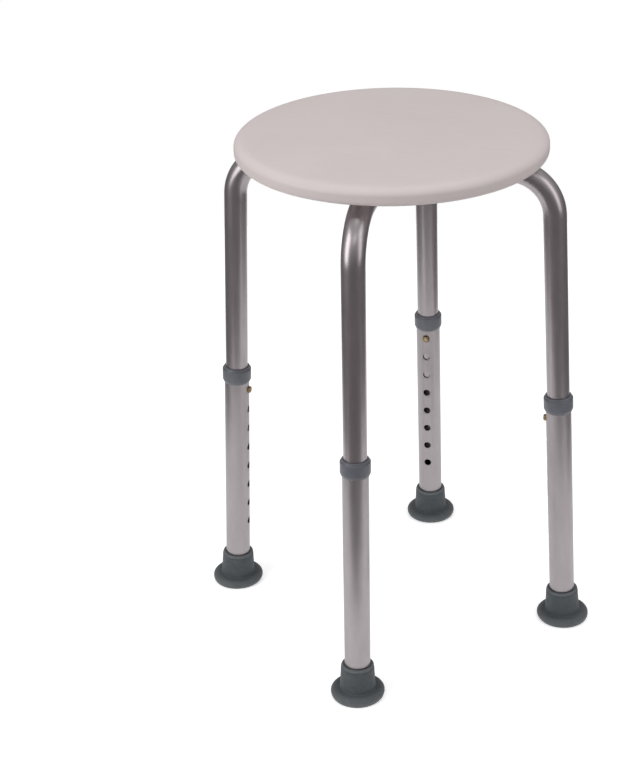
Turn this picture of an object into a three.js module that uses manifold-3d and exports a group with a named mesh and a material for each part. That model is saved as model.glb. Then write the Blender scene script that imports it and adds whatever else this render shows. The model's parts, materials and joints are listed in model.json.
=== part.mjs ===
// Round shower stool on four telescoping aluminium legs.
// Millimetres, +Z up. The origin is on the floor, under the centre of the seat.
// One leg stands towards each of +X (right), +Y (back), -X (left) and -Y (front).

import * as THREE from "three";
import { mergeVertices } from "three/addons/utils/BufferGeometryUtils.js";
import Module from "manifold-3d";

// ---- Driving dimensions ----

const GAP = 0.3; // clearance between pieces that touch
const OVERLAP = 1; // how far the parts of one moulding run into each other

// Seat
const SEAT_RADIUS = 169;
const SEAT_TOP = 588; // height of its middle over the floor
const SEAT_THICKNESS = 21;
const SEAT_CROWN = 2; // fall of the top from its flat middle to its edge
const SEAT_FLAT_RADIUS = 60; // the flat middle of the top
const SEAT_UPPER_EDGE = [15, 9]; // [width, height] of the rounded edges
const SEAT_LOWER_EDGE = [4, 5];
const SEAT_CREASE_ANGLE = 80; // degrees; the upper edge meets the top in a faint crease
const SEAT_SHELL = 4; // wall thickness
const RIB_HEIGHT = 9;
const RIB_THICKNESS = 3;
const RIB_RING_RADIUS = 72;
const PAD_RADIUS = 82; // where the seat rests on the tubes
const PAD_LENGTH = 26;
const PAD_WIDTH = 24;
const PAD_GRIP = 3; // the pads end this far above the tubes' axis

// Frame tubes
const UPPER_DIAMETER = 25.4;
const UPPER_WALL = 1.2;
const FRAME_HEIGHT = 553; // centreline of the tubes under the seat
const BEND_RADIUS = 50; // centreline
const BEND_STEPS = 6;
const CROSSING_HALF_LENGTH = 34; // half the flattened stretch where the tubes cross
const CROSSING_TAPER = 22; // from the flattened stretch to the round tube
const SPLAY = THREE.MathUtils.degToRad(2.5); // each leg leans out by this
const FOOT_CIRCLE = 200; // radius at which the leg axes meet the floor

// Telescoping legs, measured along a leg's axis from the floor
const LOWER_DIAMETER = 28.6;
const LOWER_WALL = 1.25;
const HOLE_PITCH = 25.4;
const HOLE_COUNT = 8;
const HOLE_DIAMETER = 8.4;
const TOP_HOLE = 262;
const UPPER_TUBE_END = TOP_HOLE - 64;
const COLLAR_TOP = 291.5;
const COLLAR_HEIGHT = 19;
const COLLAR_DIAMETER = 33;
const COLLAR_BEVEL = [2.2, 2.6]; // [width, height] of its slanted rim
const COLLAR_CHAMFER = [1.5, 3.2]; // and of its lower edge
const COLLAR_LIP = 3.5; // the part of the collar above the lower tube's end

// Snap buttons and their springs
const BUTTON_DIAMETER = 7.6;
const BUTTON_FLANGE_DIAMETER = 9.6;
const BUTTON_FLANGE_THICKNESS = 1.2;
const BUTTON_FLANGE_BACK = 9.6; // from the tube's axis to the flange's outer face
const BUTTON_STAND = 3; // how far a button stands out of the lower tube
const BUTTON_NOSE = 1.6; // height of its rounded nose
const SPRING_WIDTH = 7;
const SPRING_THICKNESS = 0.8;
const SPRING_DROP = 44; // from the button down to the spring's bend
const SPRING_PLATE = 5; // half the length of the flat that carries the button
const SPRING_FAR_DROP = 20; // from the button down to the end of the far arm's flat
const SPRING_PLAY = 1.6; // from the far arm to the tube's wall
const SPRING_BEND_START = 2; // from the tube's axis
const SPRING_BEND_WIDTH = 6;
const SPRING_BEND_DEPTH = 2;

// Fasteners
const BOLT_DIAMETER = 6;
const BOLT_HEAD_RADIUS = 5.6;
const BOLT_HEAD_HEIGHT = 4;
const BOLT_SPARE = 3; // what shows of the bolt beyond its nut
const NUT_HEIGHT = 6;
const WASHER_RADIUS = 9;
const WASHER_THICKNESS = 1.6;
const SCREW_DIAMETER = 4.8;
const SCREW_HEAD_DIAMETER = 9.5;
const SCREW_HEAD_HEIGHT = 3;
const SCREW_LENGTH = 42;
const SCREW_POINT = 4;
const SCREW_SPARE = 1; // the screw holes are deeper than the screws by this
const CUP_DIAMETER = 14; // curved washers between a screw's head and a tube
const CUP_DROP = 3.2; // from the tube's underside to the washer's flat face
const CUP_HEIGHT = 5.2;

// Feet
const FLANGE_RADIUS = 30;
const FLANGE_LOWER_EDGE = [3.2, 5.5]; // [width, height] of its rounded edges
const FLANGE_UPPER_EDGE = [7.2, 4.8];
const FLANGE_HEIGHT = FLANGE_LOWER_EDGE[1] + FLANGE_UPPER_EDGE[1];
const SLEEVE_TOP = 39.5;
const SLEEVE_TOP_RADIUS = 18.4;
const SLEEVE_BASE_RADIUS = 19.8;
const SLEEVE_FILLET = 1;
const RIM_BEVEL = [1.8, 2.6]; // [width, height] of the sleeve's slanted rim
const RIM_INLET = 0.4; // fall of the rim towards the tube
const FOOT_FLOOR = 9; // rubber under the foot's washer
const FOOT_OVERRUN = 4; // below the floor, before the sole is cut level
const FOOT_WASHER_BORE = 4; // radius
const FOOT_WASHER_THICKNESS = 2;
const TREAD_RECESS_RADIUS = 20;
const TREAD_RECESS_DEPTH = 2.5;

// Facets round a full turn
const SEAT_FACETS = 56;
const TUBE_FACETS = 20;
const BORE_FACETS = 16;
const FOOT_FACETS = 28;
const SMALL_FACETS = 14;
const HOLE_FACETS = 10;

// ---- Materials ----

const finish = (color, roughness, metalness) =>
  new THREE.MeshStandardMaterial({ color, roughness, metalness });

const seatPlastic = () => finish("#cfc5c3", 0.5, 0);
const aluminium = () => finish("#a8a4a6", 0.35, 1);
const collarPlastic = () => finish("#66686c", 0.5, 0);
const rubber = () => finish("#4b5054", 0.8, 0);
const steel = () => finish("#b9bcc0", 0.3, 1);
const brass = () => finish("#a98a4a", 0.35, 1);

// ---- Solids ----

const wasm = await Module();
wasm.setup();

function toSolid(geometry) {
  const bare = geometry.clone();
  bare.deleteAttribute("normal");
  bare.deleteAttribute("uv");
  const merged = mergeVertices(bare, 1e-3);
  return new wasm.Manifold(
    new wasm.Mesh({
      numProp: 3,
      vertProperties: new Float32Array(merged.attributes.position.array),
      triVerts: new Uint32Array(merged.index.array),
    }),
  );
}

function toGeometry(solid) {
  const mesh = solid.getMesh();
  const geometry = new THREE.BufferGeometry();
  geometry.setAttribute("position", new THREE.BufferAttribute(mesh.vertProperties, 3));
  geometry.setIndex(new THREE.BufferAttribute(mesh.triVerts, 1));
  geometry.computeVertexNormals();
  return geometry;
}

function joined(geometries) {
  return geometries.map(toSolid).reduce((whole, next) => whole.add(next));
}

function cutFrom(solid, geometries) {
  return geometries.map(toSolid).reduce((left, next) => left.subtract(next), solid);
}

// A body turned about Z, from [radius, height] points taken anticlockwise, so upwards
// on the outside. They start and end on the axis or close on themselves.
function turned(points, facets) {
  const profile = points.map(([radius, height]) => new THREE.Vector2(radius, height));
  return new THREE.LatheGeometry(profile, facets).rotateX(Math.PI / 2);
}

// Points of a rounded corner in a [radius, height] profile: part of an ellipse of a
// [width, height] about its centre, between two angles in degrees.
function corner([centreRadius, centreHeight], [width, height], from, to, steps) {
  return Array.from({ length: steps + 1 }, (_, i) => {
    const angle = THREE.MathUtils.degToRad(from + ((to - from) * i) / steps);
    return [
      centreRadius + width * Math.cos(angle),
      centreHeight + height * Math.sin(angle),
    ];
  });
}

// A cylinder about Z from one height to another.
function rod(radius, bottom, top, facets) {
  return new THREE.CylinderGeometry(radius, radius, top - bottom, facets)
    .rotateX(Math.PI / 2)
    .translate(0, 0, (bottom + top) / 2);
}

// A cylinder along X.
function crossRod(radius, from, to, height, facets) {
  return new THREE.CylinderGeometry(radius, radius, to - from, facets)
    .rotateZ(Math.PI / 2)
    .translate((from + to) / 2, 0, height);
}

// A block between its lowest and highest corners.
function block(low, high) {
  const size = high.map((value, i) => value - low[i]);
  const middle = high.map((value, i) => (value + low[i]) / 2);
  return new THREE.BoxGeometry(...size).translate(...middle);
}

function mesh(name, geometry, material) {
  const made = new THREE.Mesh(geometry, material);
  made.name = name;
  return made;
}

// ---- Frame tubes ----

const upperRadius = UPPER_DIAMETER / 2;
const upperBore = upperRadius - UPPER_WALL;
const lowerRadius = LOWER_DIAMETER / 2;
const lowerBore = lowerRadius - LOWER_WALL;

// The legs' directions, and the point on a leg's axis at a station, in the leg's plane:
// [distance from the stool's axis, height].
const along = [-Math.sin(SPLAY), Math.cos(SPLAY)];
const onLeg = (station) => [FOOT_CIRCLE + along[0] * station, along[1] * station];

// The bend joins the level stretch and the leg's axis.
const bendHeight = FRAME_HEIGHT - BEND_RADIUS;
const bendTurn = Math.PI / 2 - SPLAY;
const bendStation = (bendHeight + BEND_RADIUS * Math.sin(SPLAY)) / Math.cos(SPLAY);
const bendCentre = [
  onLeg(bendStation)[0] - BEND_RADIUS * Math.cos(SPLAY),
  bendHeight,
];

// The centreline of a frame tube in its plane, from one lower end over the middle to the
// other, as a curve that is sampled closely in the bends and at the crossing only.
class FrameTubePath extends THREE.Curve {
  constructor(overrun) {
    super();
    const half = [{ at: onLeg(UPPER_TUBE_END - overrun), facing: along }];
    for (let i = 0; i <= BEND_STEPS; i++) {
      const angle = SPLAY + (bendTurn * i) / BEND_STEPS;
      half.push({
        at: [
          bendCentre[0] + BEND_RADIUS * Math.cos(angle),
          bendCentre[1] + BEND_RADIUS * Math.sin(angle),
        ],
        facing: [-Math.sin(angle), Math.cos(angle)],
      });
    }
    const taperStart = CROSSING_HALF_LENGTH + CROSSING_TAPER;
    for (const share of [0, 0.25, 0.5, 0.75, 1]) {
      half.push({ at: [taperStart - share * CROSSING_TAPER, FRAME_HEIGHT], facing: [-1, 0] });
    }
    const mirrored = half
      .map(({ at, facing }) => ({ at: [-at[0], at[1]], facing: [facing[0], -facing[1]] }))
      .reverse();
    this.stops = [...half, ...mirrored];
  }

  stop(t) {
    return this.stops[Math.round(t * (this.stops.length - 1))];
  }

  getPoint(t, target = new THREE.Vector3()) {
    const { at } = this.stop(t);
    return target.set(at[0], 0, at[1]);
  }

  getTangent(t, target = new THREE.Vector3()) {
    const { facing } = this.stop(t);
    return target.set(facing[0], 0, facing[1]);
  }

  // Equal steps along the curve would waste facets on its straight stretches.
  getSpacedPoints(count) {
    return this.getPoints(count);
  }

  getTangentAt(u, target) {
    return this.getTangent(u, target);
  }
}

// A solid rod along the frame tube's centreline, thinner than the tube by the wall given.
// Where the two tubes cross, each is pressed flat to half its height, up or down as "side"
// says, 1 or -1.
function frameRod(wall, side, facets) {
  const section = new THREE.Shape().absarc(0, 0, upperRadius - wall, 0, 2 * Math.PI);
  const path = new FrameTubePath(wall); // a bore runs out past the tube's ends
  const swept = new THREE.ExtrudeGeometry(section, {
    extrudePath: path,
    steps: path.stops.length - 1,
    curveSegments: facets / 2, // a full arc is given twice this many facets
  });
  const full = upperRadius - wall; // half height away from the crossing
  const pressed = (upperRadius - GAP / 2) / 2 - wall; // half height at the crossing
  const points = swept.attributes.position;
  for (let i = 0; i < points.count; i++) {
    const beyond = Math.abs(points.getX(i)) - CROSSING_HALF_LENGTH;
    const isLevel = points.getZ(i) > FRAME_HEIGHT - upperRadius - GAP;
    if (beyond >= CROSSING_TAPER || !isLevel) continue;
    const ease = THREE.MathUtils.smoothstep(beyond, 0, CROSSING_TAPER);
    const halfHeight = THREE.MathUtils.lerp(pressed, full, ease);
    const centre = side * (upperRadius - wall - halfHeight);
    const offset = ((points.getZ(i) - FRAME_HEIGHT) / full) * halfHeight;
    points.setZ(i, FRAME_HEIGHT + centre + offset);
  }
  return swept;
}

// A frame tube in the plane through X, hollow, with its button holes and screw holes.
function frameTube(side) {
  const bore = toSolid(frameRod(UPPER_WALL, side, BORE_FACETS));
  const open = toSolid(frameRod(0, side, TUBE_FACETS)).subtract(bore);
  const through = [FRAME_HEIGHT - UPPER_DIAMETER, FRAME_HEIGHT + UPPER_DIAMETER];
  const holes = [rod(BOLT_DIAMETER / 2 + GAP, ...through, HOLE_FACETS)];
  for (const end of [1, -1]) {
    const screw = rod(SCREW_DIAMETER / 2 + GAP, ...through, HOLE_FACETS);
    holes.push(screw.translate(end * PAD_RADIUS, 0, 0));
    const button = crossRod(HOLE_DIAMETER / 2, -2 * upperRadius, 0, TOP_HOLE, HOLE_FACETS);
    button.rotateY(-SPLAY).translate(FOOT_CIRCLE, 0, 0);
    if (end < 0) button.rotateZ(Math.PI);
    holes.push(button);
  }
  return toGeometry(cutFrom(open, holes));
}

// ---- Seat ----

const seatUnderside = SEAT_TOP - SEAT_CROWN - SEAT_SHELL; // of the skin over the tubes
const seatBottom = SEAT_TOP - SEAT_THICKNESS;
const edgeHeight = SEAT_TOP - SEAT_CROWN;
const skirtRadius = SEAT_RADIUS - SEAT_SHELL; // inside of the seat's rim

function seatShell() {
  const [upperWidth, upperHeight] = SEAT_UPPER_EDGE;
  const [lowerWidth, lowerHeight] = SEAT_LOWER_EDGE;
  const upperCentre = [SEAT_RADIUS - upperWidth, edgeHeight - upperHeight];
  const lowerCentre = [SEAT_RADIUS - lowerWidth, seatBottom + lowerHeight];
  const innerEdge = [upperWidth - SEAT_SHELL, upperHeight - SEAT_SHELL];
  const crownRadius = (SEAT_FLAT_RADIUS + upperCentre[0]) / 2;
  return turned(
    [
      [0, seatUnderside],
      ...corner([skirtRadius - innerEdge[0], seatUnderside - innerEdge[1]], innerEdge, 90, 0, 3),
      [skirtRadius, seatBottom],
      ...corner(lowerCentre, SEAT_LOWER_EDGE, -90, 0, 3),
      ...corner(upperCentre, SEAT_UPPER_EDGE, 0, SEAT_CREASE_ANGLE, 5),
      [crownRadius, SEAT_TOP - SEAT_CROWN / 4],
      [SEAT_FLAT_RADIUS, SEAT_TOP],
      [0, SEAT_TOP],
    ],
    SEAT_FACETS,
  );
}

function seatRibs() {
  const top = seatUnderside + OVERLAP;
  const bottom = seatUnderside - RIB_HEIGHT;
  const reach = skirtRadius - (SEAT_UPPER_EDGE[0] - SEAT_SHELL) / 2;
  const ring = turned(
    [
      [RIB_RING_RADIUS, bottom],
      [RIB_RING_RADIUS + RIB_THICKNESS, bottom],
      [RIB_RING_RADIUS + RIB_THICKNESS, top],
      [RIB_RING_RADIUS, top],
      [RIB_RING_RADIUS, bottom],
    ],
    SEAT_FACETS / 2,
  );
  const spokes = [0, 1, 2, 3].map((i) =>
    block(
      [-reach, -RIB_THICKNESS / 2, bottom],
      [reach, RIB_THICKNESS / 2, top],
    ).rotateZ(((i + 0.5) * Math.PI) / 4),
  );
  return [ring, ...spokes];
}

// Four pads hold the tubes from above; each has a hollow for its tube and a screw hole.
function seatPads() {
  return [0, 1, 2, 3].map((i) =>
    block(
      [PAD_RADIUS - PAD_LENGTH / 2, -PAD_WIDTH / 2, FRAME_HEIGHT + PAD_GRIP],
      [PAD_RADIUS + PAD_LENGTH / 2, PAD_WIDTH / 2, seatUnderside + OVERLAP],
    ).rotateZ((i * Math.PI) / 2),
  );
}

function seat() {
  const body = joined([seatShell(), ...seatRibs(), ...seatPads()]);
  const reach = PAD_RADIUS + PAD_LENGTH;
  const hollows = [0, 1].map((i) =>
    crossRod(upperRadius + GAP, -reach, reach, FRAME_HEIGHT, TUBE_FACETS)
      .rotateZ((i * Math.PI) / 2),
  );
  const screwTop = FRAME_HEIGHT - upperRadius - CUP_DROP + SCREW_LENGTH + SCREW_SPARE;
  const screws = [0, 1, 2, 3].map((i) =>
    rod(SCREW_DIAMETER / 2 + GAP, FRAME_HEIGHT, screwTop, HOLE_FACETS)
      .translate(PAD_RADIUS, 0, 0)
      .rotateZ((i * Math.PI) / 2),
  );
  return toGeometry(cutFrom(body, [...hollows, ...screws]));
}

// ---- Fasteners ----

const crossingTop = FRAME_HEIGHT + upperRadius;
const crossingBottom = FRAME_HEIGHT - upperRadius;

function centreBolt() {
  const head = rod(BOLT_HEAD_RADIUS, crossingTop + GAP, crossingTop + GAP + BOLT_HEAD_HEIGHT, 6);
  const end = crossingBottom - WASHER_THICKNESS - NUT_HEIGHT - BOLT_SPARE;
  const shank = rod(BOLT_DIAMETER / 2, end, crossingTop + OVERLAP, SMALL_FACETS);
  return toGeometry(joined([head, shank]));
}

// A ring about Z, such as a washer.
function ring(inner, outer, bottom, top, facets) {
  return turned(
    [
      [inner, bottom],
      [outer, bottom],
      [outer, top],
      [inner, top],
      [inner, bottom],
    ],
    facets,
  );
}

function centreWasher() {
  const top = crossingBottom - GAP;
  const inner = BOLT_DIAMETER / 2 + GAP;
  return ring(inner, WASHER_RADIUS, top - WASHER_THICKNESS, top, SMALL_FACETS);
}

function centreNut() {
  const top = crossingBottom - WASHER_THICKNESS - 2 * GAP;
  const blank = rod(BOLT_HEAD_RADIUS, top - NUT_HEIGHT, top, 6);
  const through = [top - 2 * NUT_HEIGHT, top + NUT_HEIGHT];
  const bore = rod(BOLT_DIAMETER / 2 + GAP, ...through, SMALL_FACETS);
  return toGeometry(cutFrom(toSolid(blank), [bore]));
}

// A curved washer: flat below, hollowed above to fit round the tube.
function screwCup() {
  const flat = FRAME_HEIGHT - upperRadius - CUP_DROP;
  const across = [-CUP_DIAMETER, CUP_DIAMETER];
  const blank = rod(CUP_DIAMETER / 2, flat, flat + CUP_HEIGHT, SMALL_FACETS);
  const tube = crossRod(upperRadius + GAP, ...across, FRAME_HEIGHT, 2 * TUBE_FACETS);
  const bore = rod(SCREW_DIAMETER / 2 + GAP, flat - CUP_HEIGHT, FRAME_HEIGHT, HOLE_FACETS);
  return toGeometry(cutFrom(toSolid(blank), [tube, bore])).translate(PAD_RADIUS, 0, 0);
}

function seatScrew() {
  const flat = FRAME_HEIGHT - upperRadius - CUP_DROP - GAP;
  const headRadius = SCREW_HEAD_DIAMETER / 2;
  return turned(
    [
      [0, flat - SCREW_HEAD_HEIGHT],
      [headRadius / 2, flat - SCREW_HEAD_HEIGHT],
      [headRadius, flat - SCREW_HEAD_HEIGHT / 2],
      [headRadius, flat],
      [SCREW_DIAMETER / 2, flat],
      [SCREW_DIAMETER / 2, flat + SCREW_LENGTH - SCREW_POINT],
      [0, flat + SCREW_LENGTH],
    ],
    SMALL_FACETS,
  ).translate(PAD_RADIUS, 0, 0);
}

// ---- Leg pieces, in the leg's own frame: +Z up its axis, +X away from the stool ----

// Removes what a leg piece has below the floor.
function cutAtFloor(solid) {
  const reach = 2 * FLANGE_RADIUS;
  const below = block([-reach, -reach, -reach], [reach, reach, 0]).rotateY(SPLAY);
  return cutFrom(solid, [below]);
}

const tubeFoot = FOOT_FLOOR + FOOT_WASHER_THICKNESS + 2 * GAP;
const lowerTubeTop = COLLAR_TOP - COLLAR_LIP - GAP;

function lowerTube() {
  const wall = toSolid(
    turned(
      [
        [lowerBore, tubeFoot],
        [lowerRadius, tubeFoot],
        [lowerRadius, lowerTubeTop],
        [lowerBore, lowerTubeTop],
        [lowerBore, tubeFoot],
      ],
      TUBE_FACETS,
    ),
  );
  const holes = Array.from({ length: HOLE_COUNT }, (_, i) =>
    crossRod(HOLE_DIAMETER / 2, -2 * lowerRadius, 0, TOP_HOLE - i * HOLE_PITCH, HOLE_FACETS),
  );
  return toGeometry(cutFrom(wall, holes));
}

function collar() {
  const outer = COLLAR_DIAMETER / 2;
  const bottom = COLLAR_TOP - COLLAR_HEIGHT;
  const lip = COLLAR_TOP - COLLAR_LIP;
  const guide = upperRadius + GAP;
  const grip = lowerRadius + GAP;
  return turned(
    [
      [grip, bottom],
      [outer - COLLAR_CHAMFER[0], bottom],
      [outer, bottom + COLLAR_CHAMFER[1]],
      [outer, COLLAR_TOP - COLLAR_BEVEL[1]],
      [outer - COLLAR_BEVEL[0], COLLAR_TOP],
      [guide, COLLAR_TOP],
      [guide, lip],
      [grip, lip],
      [grip, bottom],
    ],
    TUBE_FACETS,
  );
}

// The flange's underside runs below the floor and is then cut level, as the leg leans out.
function foot() {
  const grip = lowerRadius + GAP;
  const lowerCentre = [FLANGE_RADIUS - FLANGE_LOWER_EDGE[0], FLANGE_LOWER_EDGE[1]];
  const upperCentre = [FLANGE_RADIUS - FLANGE_UPPER_EDGE[0], FLANGE_LOWER_EDGE[1]];
  const outside = turned(
    [
      [0, -FOOT_OVERRUN],
      [FLANGE_RADIUS - FLANGE_LOWER_EDGE[0], -FOOT_OVERRUN],
      ...corner(lowerCentre, FLANGE_LOWER_EDGE, -70, 0, 3),
      ...corner(upperCentre, FLANGE_UPPER_EDGE, 0, 90, 5),
      [SLEEVE_BASE_RADIUS + SLEEVE_FILLET, FLANGE_HEIGHT],
      [SLEEVE_BASE_RADIUS, FLANGE_HEIGHT + SLEEVE_FILLET],
      [SLEEVE_TOP_RADIUS, SLEEVE_TOP - RIM_BEVEL[1]],
      [SLEEVE_TOP_RADIUS - RIM_BEVEL[0], SLEEVE_TOP],
      [grip, SLEEVE_TOP - RIM_INLET],
      [grip, FOOT_FLOOR],
      [0, FOOT_FLOOR],
    ],
    FOOT_FACETS,
  );
  const recess = rod(TREAD_RECESS_RADIUS, -2 * FOOT_OVERRUN, TREAD_RECESS_DEPTH, FOOT_FACETS);
  return toGeometry(cutFrom(cutAtFloor(toSolid(outside)), [recess.rotateY(SPLAY)]));
}

function footWasher() {
  const bottom = FOOT_FLOOR + GAP;
  return ring(FOOT_WASHER_BORE, lowerRadius, bottom, bottom + FOOT_WASHER_THICKNESS, SMALL_FACETS);
}

function snapButton() {
  const nose = lowerRadius + BUTTON_STAND;
  const back = BUTTON_FLANGE_BACK;
  const radius = BUTTON_DIAMETER / 2;
  const flange = BUTTON_FLANGE_DIAMETER / 2;
  return turned(
    [
      [0, back - BUTTON_FLANGE_THICKNESS],
      [flange, back - BUTTON_FLANGE_THICKNESS],
      [flange, back],
      [radius, back],
      ...corner([radius / 2, nose - BUTTON_NOSE], [radius / 2, BUTTON_NOSE], 0, 90, 3),
      [0, nose],
    ],
    SMALL_FACETS,
  )
    .rotateY(-Math.PI / 2)
    .translate(0, 0, TOP_HOLE);
}

// A V-shaped leaf: one arm lies on the tube's far wall, the other carries the button.
// Its outline is drawn on the side of the button and of the far wall, and back again one
// thickness further in.
function buttonSpring() {
  const near = BUTTON_FLANGE_BACK - BUTTON_FLANGE_THICKNESS - GAP;
  const far = upperBore - SPRING_PLAY;
  const bend = TOP_HOLE - SPRING_DROP;
  const bendMiddle = SPRING_BEND_START + SPRING_BEND_WIDTH / 2;
  const bendEnd = SPRING_BEND_START + SPRING_BEND_WIDTH;
  const thick = SPRING_THICKNESS;
  const outer = [
    [-near, TOP_HOLE + SPRING_PLATE],
    [-near, TOP_HOLE - SPRING_PLATE],
    [SPRING_BEND_START, bend],
    [bendMiddle, bend - SPRING_BEND_DEPTH],
    [bendEnd, bend],
    [far, TOP_HOLE - SPRING_FAR_DROP],
    [far, TOP_HOLE + SPRING_PLATE],
  ];
  const inner = [
    [far - thick, TOP_HOLE + SPRING_PLATE],
    [far - thick, TOP_HOLE - SPRING_FAR_DROP],
    [bendEnd - thick, bend + thick],
    [bendMiddle, bend - SPRING_BEND_DEPTH + thick],
    [SPRING_BEND_START + thick, bend + thick],
    [-near + thick, TOP_HOLE - SPRING_PLATE],
    [-near + thick, TOP_HOLE + SPRING_PLATE],
  ];
  const outline = new THREE.Shape([...outer, ...inner].map(([x, y]) => new THREE.Vector2(x, y)));
  return new THREE.ExtrudeGeometry(outline, { depth: SPRING_WIDTH, bevelEnabled: false })
    .translate(0, 0, -SPRING_WIDTH / 2)
    .rotateX(Math.PI / 2);
}

// ---- Assembly ----

const stool = new THREE.Group();

stool.add(mesh("seat", seat(), seatPlastic()));

const tubeAcross = mesh("frame_tube_left_right", frameTube(1), aluminium());
const tubeAlong = mesh("frame_tube_front_back", frameTube(-1), aluminium());
tubeAlong.rotation.z = Math.PI / 2;
stool.add(tubeAcross, tubeAlong);

stool.add(mesh("centre_bolt", centreBolt(), steel()));
stool.add(mesh("centre_washer", centreWasher(), steel()));
stool.add(mesh("centre_nut", centreNut(), steel()));

const legPieces = [
  ["lower_tube", lowerTube, aluminium],
  ["collar", collar, collarPlastic],
  ["foot", foot, rubber],
  ["foot_washer", footWasher, steel],
  ["snap_button", snapButton, brass],
  ["button_spring", buttonSpring, steel],
];

["right", "back", "left", "front"].forEach((side, i) => {
  const quarter = new THREE.Group();
  quarter.rotation.z = (i * Math.PI) / 2;
  quarter.add(mesh(`seat_screw_${side}`, seatScrew(), steel()));
  quarter.add(mesh(`screw_cup_${side}`, screwCup(), collarPlastic()));

  const leg = new THREE.Group();
  leg.position.x = FOOT_CIRCLE;
  leg.rotation.y = -SPLAY;
  for (const [name, make, material] of legPieces) {
    leg.add(mesh(`${name}_${side}`, make(), material()));
  }
  quarter.add(leg);
  stool.add(quarter);
});

export default stool;
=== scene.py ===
"""Looks of the round shower stool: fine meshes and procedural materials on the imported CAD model.

Metres, +Z up. Each leg's pieces are made once in the leg's own frame, with +Z up its axis and +X
away from the stool, and placed on all four legs.
"""

import json
import math

import bmesh
import bpy
from mathutils import Matrix, Vector


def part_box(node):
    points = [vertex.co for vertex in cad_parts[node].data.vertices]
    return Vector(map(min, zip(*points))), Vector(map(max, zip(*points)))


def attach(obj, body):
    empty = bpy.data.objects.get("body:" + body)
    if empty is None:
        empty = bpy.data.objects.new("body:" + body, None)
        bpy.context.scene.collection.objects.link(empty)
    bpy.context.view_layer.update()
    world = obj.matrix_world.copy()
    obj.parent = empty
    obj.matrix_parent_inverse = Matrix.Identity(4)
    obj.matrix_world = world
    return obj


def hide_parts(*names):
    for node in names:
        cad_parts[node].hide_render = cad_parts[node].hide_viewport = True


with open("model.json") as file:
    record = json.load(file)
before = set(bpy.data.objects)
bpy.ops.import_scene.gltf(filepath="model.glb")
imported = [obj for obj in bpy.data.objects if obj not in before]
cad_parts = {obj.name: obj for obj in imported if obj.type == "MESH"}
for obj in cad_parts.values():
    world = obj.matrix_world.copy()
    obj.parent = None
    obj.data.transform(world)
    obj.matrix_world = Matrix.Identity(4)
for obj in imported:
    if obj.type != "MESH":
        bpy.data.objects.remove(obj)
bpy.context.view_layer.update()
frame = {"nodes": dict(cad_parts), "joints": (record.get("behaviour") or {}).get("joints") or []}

SIDES = ("right", "back", "left", "front")
TAU = 2 * math.pi

# ---- Sizes that the frame doesn't give, in metres: the large ones are as in the CAD model ----

GAP = 0.0003  # clearance between pieces that touch
CLOSE_FIT = 0.0001  # clearance where the seam shows
FINE_EDGE = 0.0002  # small broken edges of turned pieces

SEAT_CROWN = 0.002  # fall of the top from its flat middle to its edge
SEAT_FLAT_RADIUS = 0.060
SEAT_UPPER_EDGE = (0.015, 0.009)  # width and height of the rounded edges
SEAT_LOWER_EDGE = (0.004, 0.005)
SEAT_SHELL = 0.004  # wall thickness
CREASE_ANGLE = 70  # degrees; where the rounded edge meets the top
RIM_EDGE = 0.0012  # rounding inside the seat's lower rim
RIB_HEIGHT = 0.009
RIB_THICKNESS = 0.003
RIB_EDGE = 0.0008
RIB_ROOT = 0.001  # how far ribs and pads reach into the skin
RIB_RING_RADIUS = 0.072
PAD_RADIUS = 0.082  # where the seat rests on the tubes
PAD_LENGTH = 0.026
PAD_WIDTH = 0.024
PAD_EDGE = 0.0012
PAD_REACH_DOWN = 0.003  # the pads' lower side, above the tubes' axis
BORE_HALF_LENGTH = 0.13  # of the cylinders that hollow the pads for the tubes

COLLAR_BEVEL = (0.0022, 0.0026)  # width and height of its slanted rim
COLLAR_CHAMFER = (0.0015, 0.0032)
COLLAR_EDGE = 0.0007  # rounding under the step

UPPER_WALL = 0.0012
BEND_RADIUS = 0.050
CROSSING_HALF_LENGTH = 0.034
CROSSING_TAPER = 0.022
CROSSING_MARGIN = 0.001  # points lower than the level tubes by this aren't pressed

LOWER_WALL = 0.00125
HOLE_PITCH = 0.0254
HOLE_COUNT = 8
HOLE_RADIUS = 0.0042
HOLE_PATCH = 0.0060  # half width of the patch of mesh around a hole
LIP_SHARE = 0.3  # of the wall: the rounding of ends and holes

SCREW_RADIUS = 0.0024
SCREW_HEAD_HEIGHT = 0.003
SCREW_PLAIN_LENGTH = 0.012  # under the head
SCREW_POINT_LENGTH = 0.005
SCREW_PITCH = 0.0018
SCREW_THREAD_DEPTH = 0.0005
RECESS_REACH = 0.62  # of the head's radius: the cross recess
RECESS_HALF_WIDTH = 0.0006
RECESS_DEPTH = 0.0018
BOLT_RADIUS = 0.003
BOLT_TIP = 0.0006
BOLT_PITCH = 0.001
BOLT_THREAD_DEPTH = 0.0004
HEX_CHAMFER = 0.0003  # at the middle of each side of the bolt's head and the nut
HEX_CHAMFER_SLOPE = 0.6
HEX_FACE = 0.96  # of the distance to the sides: the flat end face
NUT_LEAD = 0.0005
CUP_EDGE = 0.0006

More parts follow.
